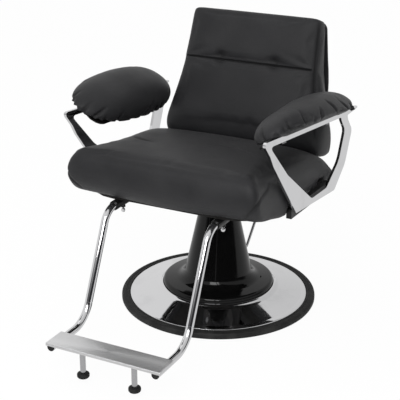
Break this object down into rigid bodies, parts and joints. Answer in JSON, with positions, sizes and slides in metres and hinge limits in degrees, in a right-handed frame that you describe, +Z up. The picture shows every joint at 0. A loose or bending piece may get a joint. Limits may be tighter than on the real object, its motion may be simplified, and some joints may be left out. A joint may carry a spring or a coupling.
{
  "type": "hydraulic styling chair",
  "caption": "Padded salon chair on a round pedestal base, with a pump-up column, swivelling seat, padded arm rings and a clamped sliding footrest.",
  "frame": {"origin": "on the floor, at the centre of the round base under the column", "axes": "+Z up along the column, -Y the way the sitter faces, +X to the sitter's left"},
  "size_m": [0.7626, 1.033, 0.8383],
  "materials": {
    "leather": "smooth black upholstery hide, satin",
    "chrome": "polished chrome plate",
    "brushed": "stainless sheet brushed along its length",
    "rubber": "moulded black rubber",
    "gloss_black": "high gloss black",
    "enamel": "black stoved enamel",
    "iron": "as cast, dark",
    "steel": "ground",
    "board": "plywood stained black"
  },
  "bodies": {
    "base": {"base_plate": "iron", "base_rim": "rubber", "base_dome": "chrome", "column_cover": "gloss_black", "pump_cylinder": "steel", "gland_nut": "steel", "ram_wiper": "rubber", "pump_block": "iron", "lever_pin": "steel"},
    "ram": {"ram": "chrome", "piston": "steel", "thrust_bearing": "steel"},
    "lever": {"pump_lever": "chrome", "lever_pedal": "rubber"},
    "seat": {"swivel_hub": "iron", "hub_bolt_1": "steel", "hub_bolt_2": "steel", "hub_bolt_3": "steel", "hub_bolt_4": "steel", "seat_frame": "enamel", "tube_socket_left": "enamel", "tube_socket_right": "enamel", "seat_board": "board", "seat_cushion": "leather", "arm_bracket_left": "enamel", "arm_bracket_right": "enamel", "arm_frame_left": "chrome", "arm_frame_right": "chrome", "arm_bolt_front_left": "steel", "arm_bolt_rear_left": "steel", "arm_bolt_front_right": "steel", "arm_bolt_rear_right": "steel", "arm_pad_board_left": "board", "arm_pad_board_right": "board", "arm_pad_left": "leather", "arm_pad_right": "leather", "pad_screw_front_left": "steel", "pad_screw_rear_left": "steel", "pad_screw_front_right": "steel", "pad_screw_rear_right": "steel", "back_bar_left": "enamel", "back_bar_right": "enamel", "back_board": "board", "back_cushion": "leather", "back_bolt_lower_left": "steel", "back_bolt_upper_left": "steel", "back_bolt_lower_right": "steel", "back_bolt_upper_right": "steel"},
    "footrest": {"footrest_tube_left": "chrome", "footrest_tube_right": "chrome", "footrest_plate": "brushed", "tube_cap_left": "rubber", "tube_cap_right": "rubber", "foot_leg_left": "chrome", "foot_leg_right": "chrome"},
    "foot_left": {"foot_left": "rubber"},
    "foot_right": {"foot_right": "rubber"},
    "clamp_left": {"clamp_screw_left": "chrome"},
    "clamp_right": {"clamp_screw_right": "chrome"}
  },
  "joints": [
    {"name": "lift", "type": "slide", "parent": "base", "child": "ram", "axis": [0, 0, 1], "range_m": [0, 0.15]},
    {"name": "swivel", "type": "hinge", "parent": "ram", "child": "seat", "pos_m": [0, 0, 0.34], "axis": [0, 0, 1], "continuous": true},
    {"name": "pump_stroke", "type": "hinge", "parent": "base", "child": "lever", "pos_m": [0.00523, 0.05977, 0.094], "axis": [0.9962, -0.0872, 0], "range_deg": [-10, 0], "stiffness_Nm_per_rad": 6, "springref_deg": 20.05},
    {"name": "footrest_slide", "type": "slide", "parent": "seat", "child": "footrest", "axis": [0, -1, 0], "range_m": [0, 0.06]},
    {"name": "foot_left_level", "type": "slide", "parent": "footrest", "child": "foot_left", "axis": [0, 0, -1], "range_m": [0, 0.008]},
    {"name": "foot_right_level", "type": "slide", "parent": "footrest", "child": "foot_right", "axis": [0, 0, -1], "range_m": [0, 0.008]},
    {"name": "clamp_left_turn", "type": "hinge", "parent": "seat", "child": "clamp_left", "pos_m": [0.159, -0.2935, 0.36], "axis": [0, 0, 1], "continuous": true},
    {"name": "clamp_right_turn", "type": "hinge", "parent": "seat", "child": "clamp_right", "pos_m": [-0.159, -0.2935, 0.36], "axis": [0, 0, 1], "continuous": true}
  ]
}
